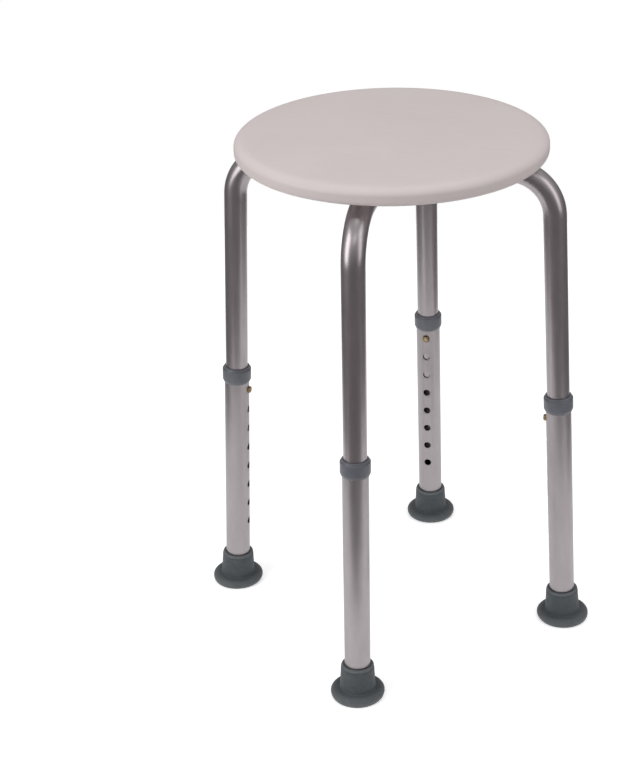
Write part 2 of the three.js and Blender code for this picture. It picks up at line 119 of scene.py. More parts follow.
FLANGE_LOWER_EDGE = (0.0032, 0.0055)  # width and height of the feet's rounded edges
FLANGE_UPPER_EDGE = (0.0072, 0.0048)
SLEEVE_TOP_RADIUS = 0.0184
SLEEVE_BASE_RADIUS = 0.0198
RIM_BEVEL = (0.0018, 0.0026)
RIM_INLET = 0.0004
FOOT_FLOOR = 0.009
TREAD_RECESS_RADIUS = 0.020
TREAD_RECESS_DEPTH = 0.0025
TREAD_RINGS = 3
TREAD_EDGE = 0.0004
BORE_LEAD = 0.002  # how far the foot's bore narrows to its rim
TREAD_RELIEF = 0.0006  # the tread's rings stand back by this from the sole
TILT_FADE = 0.014  # the sole's tilt dies out over this height
TILT_GAIN = 1.15  # keeps the full tilt over the lowest part of it
SOLE_CLEARANCE = 0.00001  # from the floor
FLANGE_CLEARANCE = 0.0001  # keeps the round foot inside the faceted one's box
BUTTON_RADIUS = 0.0038
BUTTON_FLANGE_THICKNESS = 0.0012
BUTTON_EDGE = 0.0003
NOSE_EDGE = 0.0012
NOSE_DIMPLE = 0.0006

# ---- Fineness of the meshes ----

SEAT_SEGMENTS = 192
RIB_RING_SEGMENTS = 96
BORE_SEGMENTS = 96
COLLAR_SEGMENTS = 72
FOOT_SEGMENTS = 96
BUTTON_SEGMENTS = 48
HEX_SEGMENTS = 72
WASHER_SEGMENTS = 64
CUP_SEGMENTS = 64
SCREW_SEGMENTS = 48
SMOOTH_ANGLE = 40  # degrees; sharper edges stay crisp
TUBE_SMOOTH_ANGLE = 50
HEX_SMOOTH_ANGLE = 30
LOWER_ROW_STEP = 0.008  # longest step along a tube
FRAME_ROW_STEP = 0.005


# ---- The legs' frames, and the size of each CAD node in its leg's frame ----


def leg_frame(side):
    """The leg's own frame: its origin is where the leg's axis meets the floor."""
    joint = next(j for j in frame["joints"] if j["name"] == f"leg_{side}_slide")
    up = Vector(joint["axis"]).normalized()
    low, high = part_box(f"lower_tube_{side}")
    middle = (low + high) / 2
    foot = middle - up * (middle.z / up.z)
    outward = Vector((foot.x, foot.y, 0)).normalized()
    outward = (outward - up * outward.dot(up)).normalized()
    across = up.cross(outward)
    turn = Matrix((outward, across, up)).transposed().to_4x4()
    return Matrix.Translation(foot) @ turn


LEG_FRAMES = {side: leg_frame(side) for side in SIDES}
FIRST = SIDES[0]
FIRST_LEG = LEG_FRAMES[FIRST]


def extent(node, about=Matrix.Identity(4)):
    """A CAD node's lowest and highest corners in the frame given."""
    inverse = about.inverted()
    points = [inverse @ v.co for v in frame["nodes"][node].data.vertices]
    low = Vector([min(p[i] for p in points) for i in range(3)])
    high = Vector([max(p[i] for p in points) for i in range(3)])
    return low, high


lower_low, lower_high = extent(f"lower_tube_{FIRST}", FIRST_LEG)
lower_radius = lower_high.y
button_low, button_high = extent(f"snap_button_{FIRST}", FIRST_LEG)
top_hole = (button_low.z + button_high.z) / 2

tube_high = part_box("frame_tube_left_right")[1]
upper_radius = tube_high.y
frame_height = tube_high.z - upper_radius
upper_end = extent("frame_tube_left_right", FIRST_LEG)[0].z
tubes_bottom = frame_height - upper_radius

splay = math.asin(-FIRST_LEG.col[2].x)
foot_circle = FIRST_LEG.translation.x


# ---- Mesh helpers ----


def new_object(name, vertices, faces, sharp_angle=SMOOTH_ANGLE):
    mesh = bpy.data.meshes.new(name)
    mesh.from_pydata(vertices, [], faces)
    mesh.validate()
    build = bmesh.new()
    build.from_mesh(mesh)
    bmesh.ops.recalc_face_normals(build, faces=build.faces)
    build.to_mesh(mesh)
    build.free()
    made = bpy.data.objects.new(name, mesh)
    bpy.context.scene.collection.objects.link(made)
    smooth(made, sharp_angle)
    return made


def smooth(piece, sharp_angle=SMOOTH_ANGLE):
    piece.data.shade_smooth()
    piece.data.set_sharp_from_angle(angle=math.radians(sharp_angle))


def turned(name, outline, segments, sharp_angle=SMOOTH_ANGLE):
    """A body turned about Z. outline(angle) gives [(radius, height), ...]; it starts and ends on
    the axis, or closes on itself."""
    closes = outline(0)[0][0] > 0
    rings, vertices, faces = [], [], []
    count = len(outline(0))
    for j in range(count):
        radius, height = outline(0)[j]
        if radius == 0:
            rings.append([len(vertices)] * segments)
            vertices.append((0, 0, height))
            continue
        rings.append(range(len(vertices), len(vertices) + segments))
        for i in range(segments):
            angle = TAU * i / segments
            radius, height = outline(angle)[j]
            vertices.append((radius * math.cos(angle), radius * math.sin(angle), height))
    pairs = [(j, j + 1) for j in range(count - 1)]
    if closes:
        pairs.append((count - 1, 0))
    for a, b in pairs:
        for i in range(segments):
            k = (i + 1) % segments
            corners = [rings[a][i], rings[a][k], rings[b][k], rings[b][i]]
            face = [c for n, c in enumerate(corners) if c not in corners[:n]]
            if len(face) > 2:
                faces.append(face)
    return new_object(name, vertices, faces, sharp_angle)


def arc(centre, size, start, end, steps):
    """Points of a rounded corner in a (radius, height) outline: part of an ellipse with the half
    width and half height given, or of a circle, between two angles in degrees."""
    width, height = size if isinstance(size, tuple) else (size, size)
    points = []
    for i in range(steps + 1):
        angle = math.radians(start + (end - start) * i / steps)
        points.append((centre[0] + width * math.cos(angle), centre[1] + height * math.sin(angle)))
    return points


def eased(points, steps=4):
    """A smooth outline through the points given (Catmull-Rom)."""
    out = []
    for i in range(len(points) - 1):
        before = points[max(i - 1, 0)]
        a, b = points[i], points[i + 1]
        after = points[min(i + 2, len(points) - 1)]
        for k in range(steps):
            t = k / steps
            out.append(tuple(
                0.5 * (2 * a[n] + (b[n] - before[n]) * t
                       + (2 * before[n] - 5 * a[n] + 4 * b[n] - after[n]) * t ** 2
                       + (3 * a[n] - before[n] - 3 * b[n] + after[n]) * t ** 3)
                for n in range(2)
            ))
    out.append(points[-1])
    return out


def block(name, low, high, bevel=0.0, angle=0.0):
    """A block between two corners, with rounded edges, turned about Z by angle."""
    build = bmesh.new()
    bmesh.ops.create_cube(build, size=1)
    size = [high[i] - low[i] for i in range(3)]
    middle = [(high[i] + low[i]) / 2 for i in range(3)]
    bmesh.ops.scale(build, vec=size, verts=build.verts)
    bmesh.ops.translate(build, vec=middle, verts=build.verts)
    if bevel:
        bmesh.ops.bevel(build, geom=list(build.edges), offset=bevel, segments=3,
                        profile=0.5, affect="EDGES")
    bmesh.ops.rotate(build, matrix=Matrix.Rotation(angle, 3, "Z"), verts=build.verts)
    mesh = bpy.data.meshes.new(name)
    build.to_mesh(mesh)
    build.free()
    made = bpy.data.objects.new(name, mesh)
    bpy.context.scene.collection.objects.link(made)
    return made


def combine(piece, others, operation):
    """Joins the others to the piece, or cuts them from it, and removes them."""
    for other in others:
        modifier = piece.modifiers.new("combine", "BOOLEAN")
        modifier.operation = operation
        modifier.solver = "EXACT"
        modifier.object = other
    bpy.context.view_layer.update()
    evaluated = piece.evaluated_get(bpy.context.evaluated_depsgraph_get())
    result = bpy.data.meshes.new_from_object(evaluated)
    piece.modifiers.clear()
    piece.data = result
    for other in others:
        bpy.data.objects.remove(other)
    smooth(piece)
    return piece


# ---- Materials ----


class Finish:
    """A Principled material with small helpers for its nodes."""

    def __init__(self, name, colour, roughness, metallic=0.0):
        self.material = bpy.data.materials.new(name)
        self.material.use_nodes = True
        self.nodes = self.material.node_tree.nodes
        self.links = self.material.node_tree.links
        self.shader = self.nodes["Principled BSDF"]
        self.shader.inputs["Base Color"].default_value = (*colour, 1)
        self.shader.inputs["Roughness"].default_value = roughness
        self.shader.inputs["Metallic"].default_value = metallic

    def coordinates(self, kind="Object", stretch=(1, 1, 1)):
        """The piece's own coordinates, or a tube's unrolled ones."""
        if kind == "Object":
            source = self.nodes.new("ShaderNodeTexCoord").outputs["Object"]
        else:
            attribute = self.nodes.new("ShaderNodeAttribute")
            attribute.attribute_name = kind
            source = attribute.outputs["Vector"]
        mapping = self.nodes.new("ShaderNodeMapping")
        mapping.inputs["Scale"].default_value = stretch
        self.links.new(source, mapping.inputs["Vector"])
        return mapping.outputs["Vector"]

    def noise(self, vector, scale, detail=4, roughness=0.55):
        node = self.nodes.new("ShaderNodeTexNoise")
        node.inputs["Scale"].default_value = scale
        node.inputs["Detail"].default_value = detail
        node.inputs["Roughness"].default_value = roughness
        self.links.new(vector, node.inputs["Vector"])
        return node.outputs["Fac"]

    def spread(self, value, low, high, start=0.3, end=0.7):
        node = self.nodes.new("ShaderNodeMapRange")
        for name, number in (("From Min", start), ("From Max", end),
                             ("To Min", low), ("To Max", high)):
            node.inputs[name].default_value = number
        self.links.new(value, node.inputs["Value"])
        return node.outputs["Result"]

    def blend(self, amount, first, second):
        """A colour that goes from first to second; each is a colour or a socket."""
        node = self.nodes.new("ShaderNodeMix")
        node.data_type = "RGBA"
        self.links.new(amount, node.inputs["Factor"])
        for name, value in (("A", first), ("B", second)):
            socket = next(s for s in node.inputs if s.name == name and s.type == "RGBA")
            if isinstance(value, tuple):
                socket.default_value = (*value, 1)
            else:
                self.links.new(value, socket)
        return next(s for s in node.outputs if s.type == "RGBA")

    def bump(self, height, strength, distance):
        node = self.nodes.new("ShaderNodeBump")
        node.inputs["Strength"].default_value = strength
        node.inputs["Distance"].default_value = distance
        self.links.new(height, node.inputs["Height"])
        previous = self.shader.inputs["Normal"]
        if previous.links:
            self.links.new(previous.links[0].from_socket, node.inputs["Normal"])
        self.links.new(node.outputs["Normal"], previous)

    def colour(self, value):
        self.links.new(value, self.shader.inputs["Base Color"])

    def roughness(self, value):
        self.links.new(value, self.shader.inputs["Roughness"])


def seat_plastic():
    """Pale warm grey moulded polyethylene, satin: a faint grain, cloudy mottling and scuffs."""
    made = Finish("seat_plastic", (0.60, 0.54, 0.53), 0.5)
    own = made.coordinates()
    clouds = made.spread(made.noise(own, 9, 3), 0, 1)
    tone = made.blend(clouds, (0.592, 0.527, 0.517), (0.618, 0.556, 0.544))
    specks = made.spread(made.noise(own, 420, 2), 0, 0.16, 0.62, 0.80)
    made.colour(made.blend(specks, tone, (0.52, 0.455, 0.445)))
    scuffs = made.noise(made.coordinates(stretch=(1, 7, 1)), 26, 6, 0.65)
    made.roughness(made.spread(scuffs, 0.40, 0.56))
    made.bump(made.noise(own, 1500, 2), 0.10, 0.0004)
    made.bump(made.noise(own, 60, 3), 0.05, 0.0010)
    made.shader.inputs["Specular IOR Level"].default_value = 0.4
    return made.material


def aluminium(name, dark, light, roughness):
    """Anodised drawn tube: fine lines along the tube, a cloudy tone and a few rubbed streaks."""
    made = Finish(name, light, roughness, 1.0)
    lines = made.coordinates("tube", (1, 1, 0.012))
    fine = made.noise(lines, 2600, 2)
    clouds = made.noise(made.coordinates("tube", (1, 1, 0.35)), 55, 4)
    made.colour(made.blend(made.spread(clouds, 0, 1), dark, light))
    rubbed = made.noise(made.coordinates("tube", (1, 1, 0.06)), 420, 5, 0.6)
    made.roughness(made.spread(rubbed, roughness - 0.02, roughness + 0.05))
    made.bump(fine, 0.015, 0.0002)
    made.shader.inputs["Anisotropic"].default_value = 0.35
    return made.material


def collar_plastic():
    """Mid grey moulded plastic, satin, with a fine grain."""
    made = Finish("collar_plastic", (0.125, 0.13, 0.14), 0.45)
    own = made.coordinates()
    clouds = made.spread(made.noise(own, 70, 4), 0, 1)
    made.colour(made.blend(clouds, (0.088, 0.092, 0.108), (0.112, 0.117, 0.134)))
    made.roughness(made.spread(made.noise(own, 240, 4), 0.34, 0.50))
    made.bump(made.noise(own, 2200, 2), 0.12, 0.0003)
    return made.material


def foot_rubber(height):
    """Dark blue-grey rubber, matt: a painted highlight on the rim's bevel, painted light on the
    flange that leaves the sleeve darker low down, and dusty and a little scuffed near the floor."""
    made = Finish("foot_rubber", (0.05, 0.06, 0.067), 0.7)
    own = made.coordinates()
    clouds = made.spread(made.noise(own, 60, 5), 0, 1)
    tone = made.blend(clouds, (0.034, 0.042, 0.047), (0.047, 0.057, 0.063))
    up = made.nodes.new("ShaderNodeSeparateXYZ")
    made.links.new(made.coordinates("own"), up.inputs["Vector"])
    crease = height - RIM_BEVEL[1]
    # painted highlight: a paler tone on the rim's upward-facing bevel, where light falls
    rim = made.spread(up.outputs["Z"], 0, 1, crease - 0.0006, crease + 0.0002)
    tone = made.blend(rim, tone, (0.085, 0.096, 0.102))
    # painted light: a paler tone over the whole flange, fading out where the sleeve begins
    flange = FLANGE_LOWER_EDGE[1] + FLANGE_UPPER_EDGE[1]
    painted_flange_light = made.spread(up.outputs["Z"], 1, 0, flange - 0.0012, flange + 0.0004)
    tone = made.blend(painted_flange_light, tone, (0.058, 0.067, 0.072))
    low = made.spread(up.outputs["Z"], 1, 0, 0, height * 0.35)
    dust = made.nodes.new("ShaderNodeMath")
    dust.operation = "MULTIPLY"
    made.links.new(low, dust.inputs[0])
    made.links.new(made.spread(made.noise(own, 190, 6, 0.65), 0, 0.22), dust.inputs[1])
    made.colour(made.blend(dust.outputs["Value"], tone, (0.19, 0.19, 0.185)))
    made.roughness(made.spread(made.noise(own, 300, 4), 0.58, 0.80))
    made.bump(made.noise(own, 1800, 3), 0.22, 0.0004)
    made.shader.inputs["Sheen Weight"].default_value = 0.05
    made.shader.inputs["Sheen Roughness"].default_value = 0.5
    return made.material


def steel():
    """Zinc plated steel: a fine crystalline mottle and dull spots."""
    made = Finish("steel", (0.58, 0.58, 0.60), 0.32, 1.0)
    own = made.coordinates()
    clouds = made.spread(made.noise(own, 320, 4), 0, 1)
    made.colour(made.blend(clouds, (0.50, 0.50, 0.51), (0.66, 0.66, 0.67)))
    made.roughness(made.spread(made.noise(own, 700, 4), 0.24, 0.44))
    made.bump(made.noise(own, 2500, 2), 0.08, 0.0002)
    return made.material


def button_brass(radius):
    """Brass, paler in the middle of its nose."""
    made = Finish("button_brass", (0.34, 0.25, 0.13), 0.42, 1.0)
    own = made.coordinates("own")
    apart = made.nodes.new("ShaderNodeSeparateXYZ")
    made.links.new(own, apart.inputs["Vector"])
    flat = made.nodes.new("ShaderNodeCombineXYZ")
    made.links.new(apart.outputs["X"], flat.inputs["X"])
    made.links.new(apart.outputs["Y"], flat.inputs["Y"])
    length = made.nodes.new("ShaderNodeVectorMath")
    length.operation = "LENGTH"
    made.links.new(flat.outputs["Vector"], length.inputs[0])
    # paler towards the middle of the nose
    paler_middle = made.spread(length.outputs["Value"], 1, 0, radius * 0.38, radius * 0.62)
    clouds = made.spread(made.noise(own, 900, 4), 0, 1)
    tone = made.blend(clouds, (0.22, 0.155, 0.085), (0.34, 0.25, 0.135))
    made.colour(made.blend(paler_middle, tone, (0.42, 0.35, 0.25)))
    made.roughness(made.spread(made.noise(own, 1400, 3), 0.34, 0.52))
    made.bump(made.noise(own, 3000, 2), 0.08, 0.0002)
    return made.material


MATERIALS = {
    "seat_plastic": seat_plastic(),
    "upper_aluminium": aluminium("upper_aluminium", (0.325, 0.296, 0.306),
                                 (0.37, 0.338, 0.349), 0.30),
    "lower_aluminium": aluminium("lower_aluminium", (0.315, 0.290, 0.299),
                                 (0.355, 0.329, 0.338), 0.36),
    "collar_plastic": collar_plastic(),
    "foot_rubber": foot_rubber(extent(f"foot_{FIRST}", FIRST_LEG)[1].z),
    "steel": steel(),
    "button_brass": button_brass(BUTTON_RADIUS),
}


def finished(piece, slot):
    piece.data.materials.clear()
    piece.data.materials.append(MATERIALS[slot])
    return piece


def place(piece, node, body, slot):
    """Puts a finished piece on its body, in place of its CAD node."""
    finished(piece, slot)
    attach(piece, body)
    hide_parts(node)
    return piece


def place_on_legs(piece, name, body, slot, middle=Matrix.Identity(4)):
    """Puts copies of one piece, made in the leg's frame, on all four legs. body is "leg" or
    "button"; middle is the piece's own place in the leg's frame. The copies' meshes are in the
    stool's frame, so that their bound boxes fit closely. "own" keeps each point's place in the
    piece's own frame for the material."""
    own = piece.data.attributes.new("own", "FLOAT_VECTOR", "POINT")
    own.data.foreach_set("vector", [number for v in piece.data.vertices for number in v.co])
    for side in SIDES:
        copy = bpy.data.objects.new(f"fine_{name}_{side}", piece.data.copy())
        bpy.context.scene.collection.objects.link(copy)
        copy.data.transform(LEG_FRAMES[side] @ middle)
        place(copy, f"{name}_{side}", f"{body}_{side}", slot)
    bpy.data.objects.remove(piece)


# ---- Tubes ----


def pierced_tube(name, path, ends, outer, wall, holes, row_step=LOWER_ROW_STEP):
    """A tube with rounded ends and round holes.

    path(s) gives the centreline point, the direction of the tube's inner side and the direction
    across, at a length s along it. holes are (s, side, radius), with side 1 on the inner side and
    -1 opposite. The unrolled place of each point is kept for the material.
    """
    inner = outer - wall
    lip = wall * LIP_SHARE
    curve = lip * 0.3  # the middle point of a rounded edge
    columns = 12  # between the inner and the outer side, on each half
    patch_steps = 4
    vertices, unrolled, faces, seen = [], [], [], {}

    def point(s, across, rho, side):
        """A point at a distance across from the plane of the holes, on the side given."""
        angle = math.asin(max(-1, min(1, across / rho)))
        if side < 0:
            angle = math.pi - angle
        return at(s, angle, rho)

    def at(s, angle, rho):
        key = (round(s, 7), round(angle % TAU, 6), round(rho, 7))
        if key not in seen:
            centre, inwards, sideways = path(s)
            spot = centre + (inwards * math.cos(angle) + sideways * math.sin(angle)) * rho
            seen[key] = len(vertices)
            vertices.append(spot)
            unrolled.append((rho * math.cos(angle), rho * math.sin(angle), s))
        return seen[key]

    # Columns round the tube: close ones over the holes, wider ones between.
    near = [HOLE_PATCH * k / patch_steps for k in range(-patch_steps, patch_steps + 1)]

    def column_angles(rho):
        edge = math.asin(HOLE_PATCH / rho)
        side_angles = [math.asin(y / rho) for y in near]
        between = [edge + (math.pi - 2 * edge) * k / columns for k in range(1, columns)]
        return (side_angles + between + [math.pi + a for a in side_angles]
                + [math.pi + b for b in between])

    # Rows along the tube: the holes' own rows, and even ones between.
    rows = {ends[0] + lip, ends[1] - lip}
    for s, _, _ in holes:
        rows.update(s + y for y in near)
    rows = sorted(rows)
    filled = [rows[0]]
    for here in rows[1:]:
        gap = here - filled[-1]
        if gap < 1e-6:
            continue
        steps = max(1, math.ceil(gap / row_step - 1e-6))
        start = filled[-1]
        filled += [start + gap * k / steps for k in range(1, steps + 1)]
    rows = filled

    def in_patch(s, middle_angle):
        for hole_s, side, _ in holes:
            away = math.remainder(middle_angle - (0 if side > 0 else math.pi), TAU)
            if abs(s - hole_s) < HOLE_PATCH and abs(away) < math.asin(HOLE_PATCH / outer):
                return True
        return False

    for rho in (outer, inner):
        angles = column_angles(rho)
        for a, b in zip(rows, rows[1:]):
            for i, angle in enumerate(angles):
                following = angles[(i + 1) % len(angles)]
                turn = (following - angle) % TAU
                if in_patch((a + b) / 2, angle + turn / 2):
                    continue
                faces.append([at(a, angle, rho), at(a, following, rho),
                              at(b, following, rho), at(b, angle, rho)])

    # Rounded ends.
    for end, towards in ((ends[0], 1), (ends[1], -1)):
        rims = [(end + towards * lip, outer), (end + towards * curve, outer - curve),
                (end, outer - lip), (end, inner + lip), (end + towards * curve, inner + curve),
                (end + towards * lip, inner)]
        angle_sets = [column_angles(outer) if k < 3 else column_angles(inner) for k in range(6)]
        for k in range(5):
            (s1, r1), (s2, r2) = rims[k], rims[k + 1]
            for i in range(len(angle_sets[k])):
                n = (i + 1) % len(angle_sets[k])
                faces.append([at(s1, angle_sets[k][i], r1), at(s1, angle_sets[k][n], r1),
                              at(s2, angle_sets[k + 1][n], r2), at(s2, angle_sets[k + 1][i], r2)])

    # Holes: a square patch that closes in to a round rim, on both walls, joined by the hole's side.
    square = [(near[k], near[0]) for k in range(2 * patch_steps)]
    square += [(near[-1], near[k]) for k in range(2 * patch_steps)]
    square += [(near[-1 - k], near[-1]) for k in range(2 * patch_steps)]
    square += [(near[0], near[-1 - k]) for k in range(2 * patch_steps)]
    for hole_s, side, radius in holes:
        loops = []
        for rho, share in ((outer, 0), (outer, 0.5), (outer, 1)):
            loops.append((rho, share, radius + lip))
        inner_rim = radius + lip * 0.5
        loops += [(outer - curve, 1, radius + curve), (outer - lip, 1, radius),
                  (inner + lip, 1, radius), (inner, 1, inner_rim), (inner, 0.5, inner_rim),
                  (inner, 0, inner_rim)]
        made = []
        for rho, share, rim in loops:
            loop = []
            for y, z in square:
                reach = math.hypot(y, z)
                scale = (1 - share) + share * rim / reach
                loop.append(point(hole_s + z * scale, y * scale, rho, side))
            made.append(loop)
        for first, second in zip(made, made[1:]):
            for i in range(len(square)):
                k = (i + 1) % len(square)
                faces.append([first[i], first[k], second[k], second[i]])

    piece = new_object(name, vertices, faces, TUBE_SMOOTH_ANGLE)
    attribute = piece.data.attributes.new("tube", "FLOAT_VECTOR", "POINT")
    attribute.data.foreach_set("vector", [number for spot in unrolled for number in spot])
    return piece


def leg_axis(s):
    """The centreline of a lower tube, in the leg's frame; its holes face the stool's middle."""
    return Vector((0, 0, s)), Vector((-1, 0, 0)), Vector((0, 1, 0))


# The centreline of a frame tube, by its length from the middle of the crossing.
bend_turn = math.pi / 2 - splay
bend_height = frame_height - BEND_RADIUS
bend_station = (bend_height + BEND_RADIUS * math.sin(splay)) / math.cos(splay)
bend_middle = foot_circle - math.sin(splay) * bend_station - BEND_RADIUS * math.cos(splay)
level_length = bend_middle
bend_length = BEND_RADIUS * bend_turn
half_length = level_length + bend_length + bend_station - upper_end


def frame_axis(s):
    mirror = 1 if s >= 0 else -1
    run = abs(s)
    if run <= level_length:
        spot, inwards = Vector((run, 0, frame_height)), Vector((0, 0, -1))
    elif run <= level_length + bend_length:
        angle = math.pi / 2 - (run - level_length) / BEND_RADIUS
        out = Vector((math.cos(angle), 0, math.sin(angle)))
        spot = Vector((bend_middle, 0, bend_height)) + out * BEND_RADIUS
        inwards = -out
    else:
        station = bend_station - (run - level_length - bend_length)
        spot = Vector((foot_circle - math.sin(splay) * station, 0, math.cos(splay) * station))
        inwards = Vector((-math.cos(splay), 0, -math.sin(splay)))
    return (Vector((spot.x * mirror, 0, spot.z)), Vector((inwards.x * mirror, 0, inwards.z)),
            Vector((0, 1, 0)))


def press_crossing(piece, side):
    """Presses the tube flat to half its height where the two tubes cross, up or down."""
    for vertex in piece.data.vertices:
        if vertex.co.z < tubes_bottom - CROSSING_MARGIN:
            continue
        beyond = (abs(vertex.co.x) - CROSSING_HALF_LENGTH) / CROSSING_TAPER
        if beyond >= 1:
            continue
        ease = max(0, beyond) ** 2 * (3 - 2 * max(0, beyond))
        away = vertex.co.z - frame_height
        rho = max(math.hypot(vertex.co.y, away), 1e-9)
        depth = upper_radius - rho  # how far into the wall
        half = (upper_radius - GAP / 2) / 2 - depth
        half += (rho - half) * ease
        centre = side * (upper_radius - depth - half)
        vertex.co.z = frame_height + centre + away / rho * half
    return piece


def frame_tube(name, side):
    button = half_length - (top_hole - upper_end)
    holes = [(0, 1, BOLT_RADIUS + GAP), (0, -1, BOLT_RADIUS + GAP)]
    for s in (PAD_RADIUS, -PAD_RADIUS):
        holes += [(s, 1, SCREW_RADIUS + GAP), (s, -1, SCREW_RADIUS + GAP)]
    holes += [(button, 1, HOLE_RADIUS), (-button, 1, HOLE_RADIUS)]
    piece = pierced_tube(name, frame_axis, (-half_length, half_length), upper_radius, UPPER_WALL,
                         holes, row_step=FRAME_ROW_STEP)
    press_crossing(piece, side)
    smooth(piece, TUBE_SMOOTH_ANGLE)
    return piece


left_right = frame_tube("fine_frame_tube_left_right", 1)
place(left_right, "frame_tube_left_right", "frame", "upper_aluminium")
front_back = frame_tube("fine_frame_tube_front_back", -1)
front_back.matrix_world = Matrix.Rotation(math.pi / 2, 4, "Z")
place(front_back, "frame_tube_front_back", "frame", "upper_aluminium")

lower_holes = [(top_hole - i * HOLE_PITCH, 1, HOLE_RADIUS) for i in range(HOLE_COUNT)]
lower_tube = pierced_tube("lower_tube", leg_axis, (lower_low.z, lower_high.z), lower_radius,
                          LOWER_WALL, lower_holes)
place_on_legs(lower_tube, "lower_tube", "leg", "lower_aluminium")


# ---- Seat ----

seat_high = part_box("seat")[1]
seat_radius = seat_high.x
seat_top = seat_high.z
skin_underside = seat_top - SEAT_CROWN - SEAT_SHELL
seat_bottom = min(v.co.z for v in frame["nodes"]["seat"].data.vertices
                  if math.hypot(v.co.x, v.co.y) > seat_radius - SEAT_SHELL * 1.5)


def seat_outline(angle):
    """A hollow shell, open below: up the inside from the middle, round its rim and over the top."""
    edge = seat_top - SEAT_CROWN
    inner = seat_radius - SEAT_SHELL
    upper_width, upper_height = SEAT_UPPER_EDGE
    lower_width, lower_height = SEAT_LOWER_EDGE
    inner_edge = (upper_width - SEAT_SHELL, upper_height - SEAT_SHELL)
    outline = [(0, skin_underside), (RIB_RING_RADIUS, skin_underside)]
    outline += arc((inner - inner_edge[0], skin_underside - inner_edge[1]), inner_edge, 90, 0, 8)
    outline += arc((inner + RIM_EDGE, seat_bottom + RIM_EDGE), RIM_EDGE, 180, 270, 4)
    outline += arc((seat_radius - lower_width, seat_bottom + lower_height),
                   SEAT_LOWER_EDGE, -90, 0, 10)
    outline += arc((seat_radius - upper_width, edge - upper_height),
                   SEAT_UPPER_EDGE, 0, CREASE_ANGLE, 18)
    crease_radius, crease_height = outline[-1]
    steps = 12
    for k in range(1, steps + 1):
        radius = crease_radius + (SEAT_FLAT_RADIUS - crease_radius) * k / steps
        share = (radius - SEAT_FLAT_RADIUS) / (crease_radius - SEAT_FLAT_RADIUS)
        outline.append((radius, seat_top - (seat_top - crease_height) * share ** 2))
    outline += [(SEAT_FLAT_RADIUS / 2, seat_top), (0, seat_top)]
    return outline


def seat_piece():
    """The shell with its ribs and pads, hollowed where the tubes lie in the pads."""
    shell = turned("fine_seat", seat_outline, SEAT_SEGMENTS)
    rib_low = skin_underside - RIB_HEIGHT
    rib_high = skin_underside + RIB_ROOT
    ring_outer = RIB_RING_RADIUS + RIB_THICKNESS
    ring = turned("ring", lambda angle: [
        *arc((RIB_RING_RADIUS + RIB_EDGE, rib_low + RIB_EDGE), RIB_EDGE, 180, 270, 3),
        *arc((ring_outer - RIB_EDGE, rib_low + RIB_EDGE), RIB_EDGE, 270, 360, 3),
        (ring_outer, rib_high),
        (RIB_RING_RADIUS, rib_high),
    ], RIB_RING_SEGMENTS)
    reach = seat_radius - SEAT_SHELL - (SEAT_UPPER_EDGE[0] - SEAT_SHELL) / 2
    spokes = [
        block("spoke", (-reach, -RIB_THICKNESS / 2, rib_low), (reach, RIB_THICKNESS / 2, rib_high),
              RIB_EDGE, (i + 0.5) * math.pi / 4)
        for i in range(4)
    ]
    pads = [
        block("pad", (PAD_RADIUS - PAD_LENGTH / 2, -PAD_WIDTH / 2, frame_height + PAD_REACH_DOWN),
              (PAD_RADIUS + PAD_LENGTH / 2, PAD_WIDTH / 2, rib_high), PAD_EDGE, i * math.pi / 2)
        for i in range(4)
    ]
    combine(shell, [ring, *spokes, *pads], "UNION")
    bore_radius = upper_radius + GAP
    hollows = []
    for axis in "YX":
        bore = turned("hollow", lambda angle: [
            (0, -BORE_HALF_LENGTH), (bore_radius, -BORE_HALF_LENGTH),
            (bore_radius, BORE_HALF_LENGTH), (0, BORE_HALF_LENGTH),
        ], BORE_SEGMENTS)
        bore.matrix_world = (Matrix.Translation((0, 0, frame_height))
                             @ Matrix.Rotation(math.pi / 2, 4, axis))
        hollows.append(bore)
    bpy.context.view_layer.update()
    combine(shell, hollows, "DIFFERENCE")
    return shell


place(seat_piece(), "seat", "frame", "seat_plastic")


# ---- Collars ----

collar_low, collar_high = extent(f"collar_{FIRST}", FIRST_LEG)
collar_radius = collar_high.y


def collar_outline(angle):
    """A slanted rim with a fine step under it, an upright side and a slanted lower edge."""
    bottom, top = collar_low.z, collar_high.z
    lip = lower_high.z + GAP
    guide = upper_radius + CLOSE_FIT
    grip = lower_radius + GAP
    crease = top - COLLAR_BEVEL[1]
    chamfer_width, chamfer_height = COLLAR_CHAMFER
    lower_edge = collar_radius - chamfer_width
    outline = [(grip, bottom + 0.0003), (grip + FINE_EDGE, bottom), (lower_edge, bottom)]
    outline += eased([(lower_edge, bottom),
                      (collar_radius - chamfer_width * 0.55, bottom + chamfer_height * 0.42),
                      (collar_radius - 0.0002, bottom + chamfer_height * 0.86),
                      (collar_radius, bottom + chamfer_height + 0.0006)])[1:]
    outline += arc((collar_radius - COLLAR_EDGE, crease - COLLAR_EDGE), COLLAR_EDGE, 0, 84, 6)
    outline += [(collar_radius - 0.0010, crease - 0.0001),
                (collar_radius - 0.0011, crease + 0.0002)]
    outline += eased([(collar_radius - 0.0012, crease + 0.0006),
                      (collar_radius - 0.0015, crease + 0.0015),
                      (collar_radius - COLLAR_BEVEL[0] * 0.8, top - 0.0004),
                      (guide + FINE_EDGE, top)])[1:]
    outline += [(guide, top - FINE_EDGE), (guide, lip), (grip, lip)]
    return outline


collar = turned("collar", collar_outline, COLLAR_SEGMENTS)
place_on_legs(collar, "collar", "leg", "collar_plastic")


# ---- Feet ----

foot_high = extent(f"foot_{FIRST}", FIRST_LEG)[1]
flange_radius = foot_high.y - FLANGE_CLEARANCE
sleeve_top = foot_high.z


